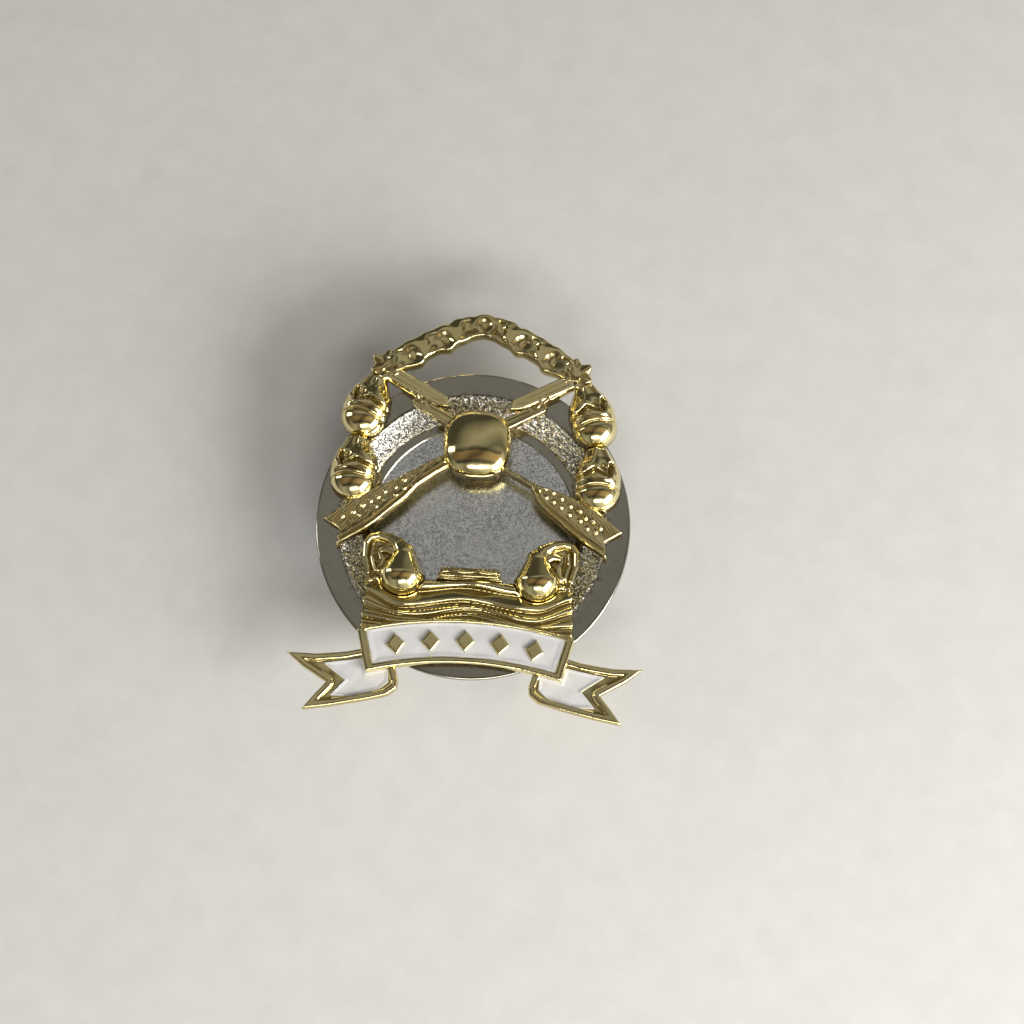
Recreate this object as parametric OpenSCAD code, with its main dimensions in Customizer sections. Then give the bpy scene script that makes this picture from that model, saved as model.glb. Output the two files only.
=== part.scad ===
// Cap badge: an openwork gilt emblem over a round dished nickel plate.
// Two studs behind the emblem pass through the plate and take a washer and
// a knurled thumb nut each, with the cap cloth gripped in between.
// Origin: centre of the plate's back face. +Z is the front, +Y the top.

/* [Backing dish] */
// Outer radius of the dished plate
dish_r = 20; // [19.8:0.1:20.2]
// Radius of the flat polished centre
floor_r = 13.1; // [12.5:0.1:13.5]
// Thickness of the pressed sheet
sheet_t = 0.6; // [0.5:0.05:0.7]
// Height of the flange's front face over the back face
seat_z = 2.8; // [2.6:0.1:3.2]

/* [Emblem] */
// Thickness of the emblem's flat parts
plate_t = 1.2; // [1:0.1:1.4]
// Width of the centre boss
boss_w = 8.7; // [8.5:0.1:9.5]
// Height of the centre boss, bottom to top of the badge
boss_h = 8.8; // [8.6:0.1:9]
// How far the boss domes out over its own base
boss_dome = 2.9; // [2.4:0.1:3.2]
// Radius of each round boll
boll_r = 3; // [2.8:0.05:3]
// How far each boll domes out
boll_dome = 2.5; // [2:0.1:2.8]
// Radius of the ball in each volute
volute_r = 2.95; // [2.8:0.05:3]

/* [Scroll] */
// Radius of the scroll panel's arched top edge
scroll_r = 51.5; // [51:0.5:52]
// Width of the scroll ribbon
scroll_w = 5.5; // [5.3:0.1:5.5]
// Half of the angle that the panel spans, in degrees
scroll_half = 15.2; // [15:0.1:15.4]
// Width of the raised rim round the enamel
rim_w = 0.75; // [0.6:0.05:0.9]
// Height of the raised rim over the enamel's bed
rim_h = 0.6; // [0.5:0.05:0.7]
// Thickness of the enamel
enamel_t = 0.4; // [0.3:0.05:0.45]

/* [Fixings] */
// Distance between the two studs
stud_pitch = 20; // [19.5:0.1:20.5]
// Radius of the plain shank that the cap cloth closes on
shank_r = 1.5; // [1.5:0.1:1.6]
// Free length of the plain shank, back face to washer
grip = 2.2; // [2:0.1:3]
// Radius of the threaded end, taken at its pitch line
thread_r = 1.34; // [1.3:0.01:1.36]
// Thickness of each washer
washer_t = 0.6; // [0.5:0.1:1]
// Radius of each washer
washer_r = 4; // [3.5:0.1:4.5]
// Height of each thumb nut, which is also its thread length
nut_h = 2.5; // [2.5:0.1:3]
// Radius of each thumb nut
nut_r = 4.5; // [4:0.1:5]

/* [Hidden] */
$fn = 64;

gilt = [0.72, 0.62, 0.30];
nickel = [0.66, 0.66, 0.65];
white = [0.90, 0.90, 0.89];
brass = [0.75, 0.62, 0.35];

run_gap = 0.05;                 // radial running clearance
shoulder_r = 1.75;              // stud where it passes the dish and spacer
spacer_r = 3;
floor_step = 0.15;              // bright line round the polished centre
slope_in_r = 14.3;
flange_in_r = 16.9;
plate_z = seat_z + plate_t;
relief_t = 0.6;                 // low relief on top of the flat parts
tall = 12;                      // height of a clearing cut
washer_z = -grip - washer_t;
nut_z = washer_z - nut_h;

// Places of the emblem's elements; the right-hand one of each pair
boss_c = [0, 9.9];
crown = [0, 26.35];
crown_r = 1.45;
blossoms = [[5, 24.1, 1.75], [9.1, 21.8, 1.9]];   // x, y, radius
// Edge of the leaf band that joins the blossoms, from its top round to its bottom
band_edge = [
    [0.8, 27.75], [1.5, 27.45], [3.2, 27.25], [4.8, 26.4], [6.8, 25.5], [8.3, 24.5],
    [9.8, 23.6], [10.9, 23], [12.1, 21.7], [12.3, 20.1], [11.6, 19.3], [10.1, 19.9],
    [8.6, 20.3], [7.4, 21.1], [6.6, 22], [5.2, 22.5], [3.7, 22.8], [2.9, 23.4],
    [2.2, 24.4], [1, 24.85]
];
rosette_c = [12.3, 20.1];
rosette_r = 1.75;
upper_boll = [14.9, 13.3, 15];  // x, y, lean of its stem
lower_boll = [15.6, 4.9, 2];
calyx_l = 5.4;                  // ball centre to the top of the calyx
volute_c = [8.5, -7.1];
wave_top = -7.7;
wave_side = 12.95;
wave_rows = 4;
scroll_c = [0, -64.2];          // centre that the ribbon arches about
tail_z = 2;                     // back of the swallow tails
tail_front = 3.2;
tail_rim_z = 3.65;
lozenge_n = 5;
lozenge_pitch = 4.3;
stud_ys = [stud_pitch / 2, -stud_pitch / 2];      // upper, lower

// ---- helpers ----
module at_side(side) {
    if (side < 0) mirror([1, 0, 0]) children();
    else children();
}

module slab(z0, z1) {
    translate([0, 0, z0]) linear_extrude(z1 - z0) children();
}

module bar(p, q, w) {
    d = q - p;
    translate(p) rotate(atan2(d[1], d[0])) translate([0, -w / 2]) square([norm(d), w]);
}

// A ball cut flat at its base: radius r there, h high
module dome(r, h) {
    ball_r = (r * r + h * h) / (2 * h);
    intersection() {
        translate([0, 0, h - ball_r]) sphere(ball_r);
        cylinder(r = r + 1, h = h + 1);
    }
}

module tube(r_out, r_in, h) {
    difference() {
        cylinder(r = r_out, h = h);
        translate([0, 0, -1]) cylinder(r = r_in, h = h + 2);
    }
}

// ---- outlines, seen from the front ----
module boss_outline(grow = 0) {
    r = 3.4;
    translate(boss_c) {
        square([boss_w + 2 * grow, boss_h - 2 * r], center = true);
        square([boss_w - 2 * r, boss_h + 2 * grow], center = true);
        for (x = [-1, 1], y = [-1, 1])
            translate([x * (boss_w / 2 - r), y * (boss_h / 2 - r)]) circle(r + grow);
    }
}

module arch_outline() {
    polygon(concat(
        band_edge,
        [for (i = [len(band_edge) - 1 : -1 : 0]) [-band_edge[i][0], band_edge[i][1]]]
    ));
}

module rosette_outline() {
    translate(rosette_c) {
        circle(rosette_r);
        for (a = [5, 65]) rotate(a) translate([1.9, 0]) circle(0.65);
    }
}

module boll_outline() {
    circle(boll_r);
    polygon([[-1.5, calyx_l], [1.5, calyx_l], [2.9, 2.6], [boll_r, 0], [-boll_r, 0], [-2.9, 2.6]]);
}

module place_boll(b) {
    translate([b[0], b[1]]) rotate(b[2]) children();
}

module lightning_outline() {
    polygon([
        [11.4, 20.2], [4.2, 16.1], [4, 14.9], [6, 15.1], [3, 13.6], [3.4, 12],
        [8.5, 15], [8.6, 15.6], [8, 15.8], [12.2, 18.4]
    ]);
}

module fletching_outline() {
    polygon([
        [3.2, 8.7], [7.6, 6.1], [12.5, 3.9], [15.8, 2], [19, -0.6], [16.8, -1.9], [17, -4.2],
        [13.4, -1.5], [11.8, 0], [9.8, 1.8], [7.4, 4.4], [6.2, 5.9], [2.8, 7.7]
    ]);
}

module volute_outline() {
    translate(volute_c) circle(volute_r);
    polygon([
        [6, -8], [5.9, -5.8], [6.7, -4.2], [8.4, -2.8], [10.6, -2], [13.2, -1.8],
        [16.2, -3.7], [14.9, -5.6], [wave_side, -8.2]
    ]);
}

module step_outline() {
    polygon([[-3.6, -6.1], [3.6, -6.1], [4.2, wave_top], [-4.2, wave_top]]);
}

module sector(r_in, r_out, half) {
    translate(scroll_c) intersection() {
        difference() {
            circle(r_out, $fn = 360);
            circle(r_in, $fn = 360);
        }
        polygon([[0, 0], [-2 * r_out * tan(half), 2 * r_out], [2 * r_out * tan(half), 2 * r_out]]);
    }
}

module panel_outline() {
    sector(scroll_r - scroll_w, scroll_r, scroll_half);
}

module panel_field() {
    end_angle = rim_w / scroll_r * 180 / PI;
    sector(scroll_r - scroll_w + rim_w, scroll_r - rim_w, scroll_half - end_angle);
}

module wave_outline() {
    difference() {
        polygon([
            [-wave_side, wave_top], [wave_side, wave_top],
            [wave_side + 0.3, -16], [-wave_side - 0.3, -16]
        ]);
        translate(scroll_c) circle(scroll_r, $fn = 360);
        for (side = [-1, 1]) at_side(side) translate(volute_c) circle(volute_r);
    }
}

module tail_outline() {
    polygon([
        [12.2, -16.6], [13, -16.9], [14.6, -17.3], [18.3, -17.75], [22.1, -17.7], [20, -19.4],
        [16.9, -21.2], [18.1, -22.6], [19.7, -24.7], [16.3, -24.1], [12.2, -23.2],
        [9.4, -22.5], [8.2, -21.6], [8, -20.6], [8.5, -19]
    ]);
}

module tail_field() {
    difference() {
        polygon([
            [12.2, -17.9], [17.2, -18.6], [14.6, -20.8], [16.3, -22.7], [13.8, -22.7],
            [10.4, -21.7], [9.3, -20.7], [9.6, -19], [12, -18.5]
        ]);
        panel_outline();
    }
}

module lozenge_outline() {
    polygon([[0, 1.35], [1.2, 0], [0, -1.35], [-1.2, 0]]);
}

module place_lozenges() {
    mid_r = scroll_r - scroll_w / 2;
    for (i = [0 : lozenge_n - 1]) {
        a = (i - (lozenge_n - 1) / 2) * lozenge_pitch / mid_r * 180 / PI;
        translate(scroll_c) rotate(-a) translate([0, mid_r]) children();
    }
}

// One raised ripple right across the wave band
module ripple(y, w) {
    n = 24;
    xs = [for (i = [0 : n]) -wave_side + 2 * wave_side * i / n];
    function sway(x) = 0.35 * sin(x * 26 + y * 40);
    polygon(concat(
        [for (x = xs) [x, y + w / 2 + sway(x)]],
        [for (i = [n : -1 : 0]) [xs[i], y - w / 2 + sway(xs[i])]]
    ));
}

// ---- backing plate ----
module backing_dish() {
    lip = sheet_t / 2;
    slope_h = seat_z - sheet_t - floor_step;
    color(nickel) difference() {
        rotate_extrude($fn = 180) {
            polygon(concat(
                [[0, 0], [floor_r + 0.3, 0], [slope_in_r + 0.3, floor_step + 0.1]],
                [for (i = [1 : 4]) [
                    slope_in_r + 0.3 + (flange_in_r - slope_in_r) * i / 4,
                    floor_step + 0.1 + slope_h * pow(i / 4, 1.3) - 0.1 * i / 4
                ]],
                [[dish_r - lip, seat_z - sheet_t], [dish_r - lip, seat_z]],
                [for (i = [4 : -1 : 0]) [
                    slope_in_r + (flange_in_r - slope_in_r) * i / 4,
                    sheet_t + floor_step + slope_h * pow(i / 4, 1.3)
                ]],
                [[floor_r + 0.12, sheet_t + floor_step], [floor_r, sheet_t], [0, sheet_t]]
            ));
            translate([dish_r - lip, seat_z - lip]) circle(lip);
        }
        for (y = stud_ys)
            translate([0, y, -1]) cylinder(r = shoulder_r + run_gap, h = sheet_t + 2);
    }
}

// ---- emblem ----
module centre_boss() {
    color(gilt) {
        slab(seat_z, plate_z) boss_outline();
        intersection() {
            translate([boss_c[0], boss_c[1], plate_z]) dome(boss_w * 0.68, boss_dome);
            slab(plate_z, plate_z + boss_dome) boss_outline();
        }
    }
}

module wreath_arch() {
    color(gilt) difference() {
        union() {
            slab(seat_z, plate_z) arch_outline();
            translate([crown[0], crown[1], plate_z]) dome(crown_r * 0.8, relief_t);
            for (side = [-1, 1], b = blossoms)
                at_side(side) translate([b[0], b[1], plate_z]) dome(b[2] * 0.8, relief_t);
        }
        for (side = [-1, 1]) at_side(side) slab(0, tall) rosette_outline();
    }
}

module rosette(side) {
    color(gilt) at_side(side) {
        slab(seat_z, plate_z) rosette_outline();
        translate([rosette_c[0], rosette_c[1], plate_z]) dome(rosette_r * 0.8, relief_t);
    }
}

module boll_body() {
    slab(seat_z, plate_z) boll_outline();
    translate([0, 0, plate_z]) dome(boll_r * 0.93, boll_dome - relief_t);
    slab(plate_z, plate_z + relief_t * 1.6)
        polygon([
            [-1.3, calyx_l - 0.3], [1.3, calyx_l - 0.3], [2.7, 2.5], [1.7, 1.2], [0.8, 2.3],
            [0, 1.1], [-0.8, 2.3], [-1.7, 1.2], [-2.7, 2.5]
        ]);
}

module upper_boll_solid(side) {
    color(gilt) at_side(side) difference() {
        place_boll(upper_boll) boll_body();
        slab(0, tall) {
            rosette_outline();
            lightning_outline();
        }
    }
}

module lower_boll_solid(side) {
    color(gilt) at_side(side) difference() {
        place_boll(lower_boll) boll_body();
        slab(0, tall) {
            place_boll(upper_boll) boll_outline();
            fletching_outline();
        }
    }
}

module lightning(side) {
    color(gilt) at_side(side) difference() {
        union() {
            slab(seat_z, plate_z) lightning_outline();
            slab(plate_z, plate_z + relief_t / 2) bar([5, 16], [9.8, 18.6], 0.8);
            slab(plate_z, plate_z + relief_t / 2) bar([4.6, 13.6], [7.9, 15.3], 0.6);
        }
        slab(0, tall) {
            rosette_outline();
            boss_outline();
        }
    }
}

// Feathered arrow end: a plate with a raised quill down its middle
module fletching(side) {
    color(gilt) at_side(side) difference() {
        union() {
            slab(seat_z, plate_z) fletching_outline();
            slab(plate_z, plate_z + relief_t) bar([3.6, 7.9], [16.2, -1.2], 0.8);
        }
        slab(0, tall) boss_outline();
    }
}

module volute(side) {
    hook_r = 3.9;
    color(gilt) at_side(side) difference() {
        union() {
            slab(seat_z, plate_z) volute_outline();
            translate([volute_c[0], volute_c[1], plate_z]) dome(volute_r * 0.95, 2.2);
            slab(plate_z, plate_z + relief_t) intersection() {
                volute_outline();
                translate([volute_c[0] + 1.4, volute_c[1] + 0.6]) difference() {
                    circle(hook_r);
                    circle(hook_r - 0.9);
                }
            }
        }
        slab(0, tall) {
            fletching_outline();
            wave_outline();
        }
    }
}

module base_step() {
    color(gilt) {
        slab(seat_z, plate_z) step_outline();
        slab(plate_z, plate_z + relief_t)
            polygon([[-3.2, -6.4], [3.2, -6.4], [3.5, -7.1], [-3.5, -7.1]]);
    }
}

module wave_base() {
    row = 5 / wave_rows;
    color(gilt) {
        slab(seat_z, plate_z) wave_outline();
        slab(plate_z, plate_z + relief_t) intersection() {
            wave_outline();
            union() for (i = [0 : wave_rows - 1]) ripple(wave_top - 0.9 - i * row, row * 0.5);
        }
    }
}

// ---- scroll ----
module scroll_panel() {
    color(gilt) {
        slab(seat_z, plate_z) panel_outline();
        slab(plate_z, plate_z + rim_h) difference() {
            panel_outline();
            panel_field();
        }
    }
}

module scroll_tail(side) {
    color(gilt) at_side(side) {
        slab(tail_z, seat_z) tail_outline();
        slab(seat_z, tail_front) difference() {
            tail_outline();
            panel_outline();
        }
        slab(tail_front, tail_rim_z) difference() {
            tail_outline();
            panel_outline();
            tail_field();
        }
    }
}

module panel_enamel() {
    color(white) slab(plate_z, plate_z + enamel_t) difference() {
        panel_field();
        place_lozenges() lozenge_outline();
    }
}

module tail_enamel(side) {
    color(white) at_side(side) slab(tail_front, tail_front + enamel_t - 0.1) tail_field();
}

module panel_studs() {
    color(gilt) slab(plate_z, plate_z + rim_h + 0.1) place_lozenges() lozenge_outline();
}

// ---- fixings ----
module stud(y) {
    chamfer = 0.3;
    color(brass) translate([0, y, 0]) {
        cylinder(r = shoulder_r, h = seat_z);
        translate([0, 0, -grip]) cylinder(r = shank_r, h = grip);
        translate([0, 0, nut_z + chamfer]) cylinder(r = thread_r, h = -grip - nut_z - chamfer);
        translate([0, 0, nut_z]) cylinder(r1 = thread_r - chamfer, r2 = thread_r, h = chamfer);
    }
}

module spacer(y) {
    color(brass) translate([0, y, sheet_t])
        tube(spacer_r, shoulder_r + run_gap, seat_z - sheet_t);
}

module washer(y) {
    color(nickel) translate([0, y, washer_z]) tube(washer_r, shank_r + 2 * run_gap, washer_t);
}

module thumb_nut(y) {
    teeth = 30;
    color(nickel) translate([0, y, nut_z]) difference() {
        tube(nut_r, thread_r + run_gap, nut_h);
        for (i = [0 : teeth - 1])
            rotate(i * 360 / teeth) translate([nut_r + 0.1, 0, -1]) cylinder(r = 0.3, h = nut_h + 2, $fn = 16);
    }
}

backing_dish();
wreath_arch();
rosette(-1);  // left_rosette
rosette(1);  // right_rosette
upper_boll_solid(-1);  // left_upper_boll
lower_boll_solid(-1);  // left_lower_boll
upper_boll_solid(1);  // right_upper_boll
lower_boll_solid(1);  // right_lower_boll
lightning(-1);  // left_lightning
lightning(1);  // right_lightning
fletching(-1);  // left_fletching
fletching(1);  // right_fletching
centre_boss();
volute(-1);  // left_volute
volute(1);  // right_volute
base_step();
wave_base();
scroll_panel();
scroll_tail(-1);  // left_scroll_tail
scroll_tail(1);  // right_scroll_tail
panel_enamel();
tail_enamel(-1);  // left_tail_enamel
tail_enamel(1);  // right_tail_enamel
panel_studs();
stud(stud_ys[0]);  // upper_stud
stud(stud_ys[1]);  // lower_stud
spacer(stud_ys[0]);  // upper_spacer
spacer(stud_ys[1]);  // lower_spacer
washer(stud_ys[0]);  // upper_washer
washer(stud_ys[1]);  // lower_washer
thumb_nut(stud_ys[0]);  // upper_nut
thumb_nut(stud_ys[1]);  // lower_nut
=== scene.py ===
import math

import bmesh
import bpy
import numpy as np
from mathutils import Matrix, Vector


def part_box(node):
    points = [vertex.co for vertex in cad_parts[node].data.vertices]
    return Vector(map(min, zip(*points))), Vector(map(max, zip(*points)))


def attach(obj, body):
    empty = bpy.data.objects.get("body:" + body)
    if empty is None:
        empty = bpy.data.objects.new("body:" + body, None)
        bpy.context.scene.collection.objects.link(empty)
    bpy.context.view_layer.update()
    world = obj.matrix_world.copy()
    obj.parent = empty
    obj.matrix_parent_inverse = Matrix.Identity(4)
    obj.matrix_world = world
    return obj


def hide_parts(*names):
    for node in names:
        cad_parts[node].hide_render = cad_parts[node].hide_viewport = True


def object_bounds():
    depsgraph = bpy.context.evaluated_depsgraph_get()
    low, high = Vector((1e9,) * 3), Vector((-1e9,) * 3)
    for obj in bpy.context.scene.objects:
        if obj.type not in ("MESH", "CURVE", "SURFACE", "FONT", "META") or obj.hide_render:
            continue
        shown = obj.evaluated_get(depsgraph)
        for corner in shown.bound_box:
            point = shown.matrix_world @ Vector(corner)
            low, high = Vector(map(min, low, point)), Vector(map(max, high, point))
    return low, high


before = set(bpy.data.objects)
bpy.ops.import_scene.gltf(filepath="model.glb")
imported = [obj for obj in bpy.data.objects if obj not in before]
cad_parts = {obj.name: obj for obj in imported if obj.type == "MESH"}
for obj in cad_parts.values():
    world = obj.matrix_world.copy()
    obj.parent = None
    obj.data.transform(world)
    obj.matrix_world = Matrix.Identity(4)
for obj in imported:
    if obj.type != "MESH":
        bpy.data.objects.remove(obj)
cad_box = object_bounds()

MM = 0.001
PITCH = 0.1  # grid of the relief meshes, in mm


# ---- frame sizes
def box_mm(node):
    """Lowest and highest corner of a CAD node, in mm."""
    lo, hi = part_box(node)
    return np.array(lo) / MM, np.array(hi) / MM


WIDEST = cad_box[1][0] / MM
LOWEST, HIGHEST = cad_box[0][1] / MM, cad_box[1][1] / MM
SEAT = box_mm("wave_base")[0][2]  # back of the emblem, front of the flange
BED = box_mm("panel_enamel")[0][2]  # front of the emblem's flat parts
TAIL_BED = box_mm("right_tail_enamel")[0][2]
TAIL_BACK = box_mm("right_scroll_tail")[0][2]
DISH_R = box_mm("backing_dish")[1][0]
(_, _, NUT_BACK), (NUT_R, _, NUT_FRONT) = box_mm("upper_nut")
(_, _, WASHER_BACK), (WASHER_R, _, WASHER_FRONT) = box_mm("upper_washer")
(_, _, SHEET_T), (SPACER_R, _, _) = box_mm("upper_spacer")
SIDES = ("upper", "lower")
STUD_Y = {side: float(np.mean([box_mm(f"{side}_stud")[i][1] for i in (0, 1)])) for side in SIDES}
WAVE_SIDE = 12.95
WAVE_TOP = box_mm("wave_base")[1][1]
BOSS_LO, BOSS_HI = box_mm("centre_boss")
BOSS_C, BOSS_HALF, BOSS_TOP = (BOSS_LO + BOSS_HI) / 2, (BOSS_HI - BOSS_LO) / 2, BOSS_HI[2]

# Places that the CAD keeps, in mm, for the right-hand one of each pair
CROWN = (0.0, 26.35, 1.45)  # x, y, radius
BLOSSOMS = [(5.0, 24.1, 1.75), (9.1, 21.8, 1.9)]
BAND = [
    (0.0, 26.25, 1.5), (2.0, 25.85, 1.5), (3.1, 25.4, 1.66), (5.0, 24.4, 1.68), (7.0, 23.45, 1.6),
    (9.1, 22.05, 1.68), (12.3, 20.1, 1.45),
]
LEAVES = [(2.8, 25.7), (7.2, 23.6), (11.2, 21.1)]
ROSETTE = (12.3, 20.1)
UPPER_BOLL = (14.9, 13.3, 15.0)  # x, y, lean in degrees
LOWER_BOLL = (15.6, 4.9, 2.0)
BOLL_R = 2.98
CALYX_L = 5.35
FLETCH_A, FLETCH_B = (3.6, 7.9), (17.3, -2.2)
FLETCH_UPPER = {  # edges of the vane, from the boss to the notched end
    -1.0: [(3.0, 9.2), (5.0, 8.15), (6.4, 7.4), (7.8, 6.45), (9.7, 5.3), (12.5, 3.9)],
    1.0: [(2.9, 8.3), (4.5, 6.9), (7.6, 5.3), (9.7, 4.7), (12.5, 3.7)],
}
FLETCH_END = [(15.8, 2.0), (18.95, -0.6), (16.8, -1.9), (17.0, -4.15)]
FLETCH_LOWER = {
    -1.0: [
        (2.0, 7.4), (3.5, 6.8), (4.9, 5.95), (7.2, 4.2), (8.6, 2.5), (12.2, -0.9), (13.3, -1.75),
        FLETCH_END[-1],
    ],
    1.0: [
        (2.6, 7.2), (4.4, 6.1), (7.0, 4.75), (7.75, 3.0), (8.7, 1.9), (11.7, -0.5), (13.2, -1.65),
        FLETCH_END[-1],
    ],
}
BEADS = [(0.55, 5.0, 1.25, 9), (-0.35, 5.6, 1.3, 8)]  # offset, start, pitch, count
VOLUTE = (8.5, -7.1)
VOLUTE_R = 2.95
HOOK = [  # middle line and radius of the volute's tube, ball last
    (12.75, -7.2, 0.34), (13.25, -5.2, 0.42), (13.25, -3.4, 0.5), (12.7, -2.65, 0.52),
    (11.6, -2.4, 0.54), (10.4, -2.65, 0.66), (9.2, -3.4, 0.95), (8.35, -4.5, 1.4), (*VOLUTE, VOLUTE_R),
]
LEAF_TUBES = [  # stops and base height of the leaves inside the hook
    ([(12.3, -3.6, 0.2), (12.45, -5.2, 0.26), (11.9, -6.8, 0.36)], 0.6),
    ([(11.4, -4.3, 0.35), (10.2, -4.1, 0.6), (9.4, -4.6, 0.7)], 0.55),
    ([(11.5, -4.6, 0.25), (11.0, -5.6, 0.5), (11.2, -7.0, 0.6)], 0.7),
    ([(12.9, -8.4, 0.3), (11.9, -8.0, 0.3)], 0.6),
]
BANDS = [  # top edge in the middle, sag, rise at the ends, height
    (-7.5, 0.45, 0.3, 0.75), (-8.8, 0.5, 0.6, 1.15), (-10.3, 1.15, 0.95, 0.85),
    (-11.35, 1.2, 0.3, 0.85), (-12.4, 1.2, -0.4, 0.75), (-13.4, 1.1, -0.5, 0.7), (-15.2, 1.1, -0.5, 0.5),
]
SCROLL_Y = -64.2  # centre that the scroll arches about
SCROLL_R = 51.5
SCROLL_W = 5.5
SCROLL_HALF = math.radians(15.2)
RIM_TOP, RIM_BOTTOM, RIM_END = 0.5, 0.85, 1.15
TAIL = [
    (12.2, -16.6), (13.0, -16.9), (14.6, -17.3), (18.3, -17.75), (22.08, -17.72), (20.0, -19.4),
    (16.9, -21.2), (18.1, -22.6), (19.68, -24.65), (16.3, -24.1), (12.2, -23.2),
    (9.4, -22.5), (8.2, -21.6), (8.02, -20.6), (8.5, -19.0),
]
TAIL_FIELD = [
    (11.6, -17.8), (14.2, -18.35), (17.3, -18.85), (14.5, -20.8), (16.2, -22.75), (13.6, -22.75),
    (10.4, -21.8), (9.3, -20.8), (9.4, -18.6),
]


# ---- array maths
def clamp01(t):
    return np.clip(t, 0.0, 1.0)


def ease(t):
    t = clamp01(t)
    return t * t * (3 - 2 * t)


def mix(a, b, t):
    return a + (b - a) * t


def bump_at(t, centre, width):
    return np.exp(-(((t - centre) / width) ** 2))


def smin(a, b, k):
    """Smooth union of two distances."""
    h = clamp01(0.5 + 0.5 * (b - a) / k)
    return mix(b, a, h) - k * h * (1 - h)


def smax(a, b, k):
    return -smin(-a, -b, k)


def disc(x, y, cx, cy, r):
    return np.hypot(x - cx, y - cy) - r


def nearest(x, y, a, b):
    """Share of the way from a to b at which the line is nearest, and the distance there."""
    ex, ey = b[0] - a[0], b[1] - a[1]
    t = clamp01(((x - a[0]) * ex + (y - a[1]) * ey) / (ex * ex + ey * ey))
    return t, np.hypot(x - a[0] - t * ex, y - a[1] - t * ey)


def capsule(x, y, a, b, ra=0.0, rb=0.0):
    """Distance to a line from a to b, or to a thick one whose radius goes from ra to rb."""
    t, d = nearest(x, y, a, b)
    return d - mix(ra, rb, t)


def polygon(x, y, points):
    """Signed distance to a polygon, negative inside."""
    far = np.full(x.shape, 1e9)
    inside = np.zeros(x.shape, bool)
    for (ax, ay), (bx, by) in zip(points, points[1:] + points[:1]):
        far = np.minimum(far, nearest(x, y, (ax, ay), (bx, by))[1])
        slope = (bx - ax) / (by - ay) if by != ay else 0.0
        inside ^= ((ay > y) != (by > y)) & (x < ax + (y - ay) * slope)
    return np.where(inside, -far, far)


def polyline(x, y, points):
    """Distance to an open line of straight pieces."""
    far = np.full(x.shape, 1e9)
    for a, b in zip(points, points[1:]):
        far = np.minimum(far, capsule(x, y, a, b))
    return far


def along(x, y, a, b):
    """Distance along and across the line from a to b."""
    length = math.hypot(b[0] - a[0], b[1] - a[1])
    ux, uy = (b[0] - a[0]) / length, (b[1] - a[1]) / length
    dx, dy = x - a[0], y - a[1]
    return dx * ux + dy * uy, dy * ux - dx * uy


def turned(dx, dy, a):
    """The same offset in axes turned by a radians."""
    return dx * math.cos(a) + dy * math.sin(a), dy * math.cos(a) - dx * math.sin(a)


def fillet(depth, r):
    """Drop of a rounded edge of radius r, at this depth inside the outline."""
    t = clamp01(depth / r)
    return r * (1 - np.sqrt(np.maximum(0.0, 1 - (1 - t) ** 2)))


def wobble(x, y, seed):
    """Low waves, within about +-1, that keep a surface from being too regular."""
    a = 1.7 * seed
    return (
        np.sin(1.1 * x + 0.7 * y + a)
        + np.sin(-0.8 * x + 1.3 * y + 2.1 * a)
        + 0.5 * np.sin(2.3 * x + 1.9 * y + 0.6 * a)
    ) / 2.5


# ---- relief mesher
def clip_cells(d, ids, crossings, points):
    """Faces of the grid cells that the outline cuts, as lists of vertex numbers."""
    faces = []
    inside = d <= 0
    corner = [(0, 0), (1, 0), (1, 1), (0, 1)]
    stack = np.stack([inside[i:i + d.shape[0] - 1, j:j + d.shape[1] - 1] for i, j in corner])
    cut = stack.any(0) & ~stack.all(0)
    for i, j in zip(*np.nonzero(cut)):
        quad = [(i + a, j + b) for a, b in corner]
        for tri in ((quad[0], quad[1], quad[2]), (quad[0], quad[2], quad[3])):
            face = []
            for p, q in zip(tri, tri[1:] + tri[:1]):
                if d[p] <= 0:
                    face.append(int(ids[p]))
                if (d[p] < 0 < d[q]) or (d[q] < 0 < d[p]):
                    key = (min(p, q), max(p, q))
                    if key not in crossings:
                        crossings[key] = len(points[0])
                        t = d[p] / (d[p] - d[q])
                        for axis in (0, 1):
                            points[axis].append(mix(points[2][axis][p], points[2][axis][q], t))
                    face.append(crossings[key])
            if len(face) >= 3:
                faces.append(face)
    return faces


def trimmed_grid(outline, lo, hi, pitch):
    """x, y and faces of a flat grid that ends on the outline."""
    nx, ny = (int(math.ceil((hi[k] - lo[k]) / pitch)) + 3 for k in (0, 1))
    x, y = np.meshgrid(
        lo[0] - pitch + pitch * np.arange(nx), lo[1] - pitch + pitch * np.arange(ny), indexing="ij"
    )
    d = outline(x, y)
    e = pitch * 0.05
    gx = (outline(x + e, y) - outline(x - e, y)) / (2 * e)
    gy = (outline(x, y + e) - outline(x, y - e)) / (2 * e)
    near = (np.abs(d) < 0.42 * pitch) & (np.hypot(gx, gy) > 0.5)
    step = np.where(near, d / np.maximum(gx * gx + gy * gy, 0.25), 0.0)
    x, y, d = x - step * gx, y - step * gy, np.where(near, 0.0, d)
    used = d <= 0
    ids = np.cumsum(used).reshape(used.shape) - 1
    points = [list(x[used]), list(y[used]), (x, y)]
    whole = used[:-1, :-1] & used[1:, :-1] & used[1:, 1:] & used[:-1, 1:]
    quads = np.stack(
        [ids[:-1, :-1][whole], ids[1:, :-1][whole], ids[1:, 1:][whole], ids[:-1, 1:][whole]], 1
    )
    faces = quads.tolist() + clip_cells(d, ids, {}, points)
    return np.array(points[0]), np.array(points[1]), faces


def rim_edges(faces):
    """Directed edges that only one face uses."""
    seen = {}
    for face in faces:
        for a, b in zip(face, face[1:] + face[:1]):
            key = (a, b) if a < b else (b, a)
            seen[key] = None if key in seen else (a, b)
    return [e for e in seen.values() if e]


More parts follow.
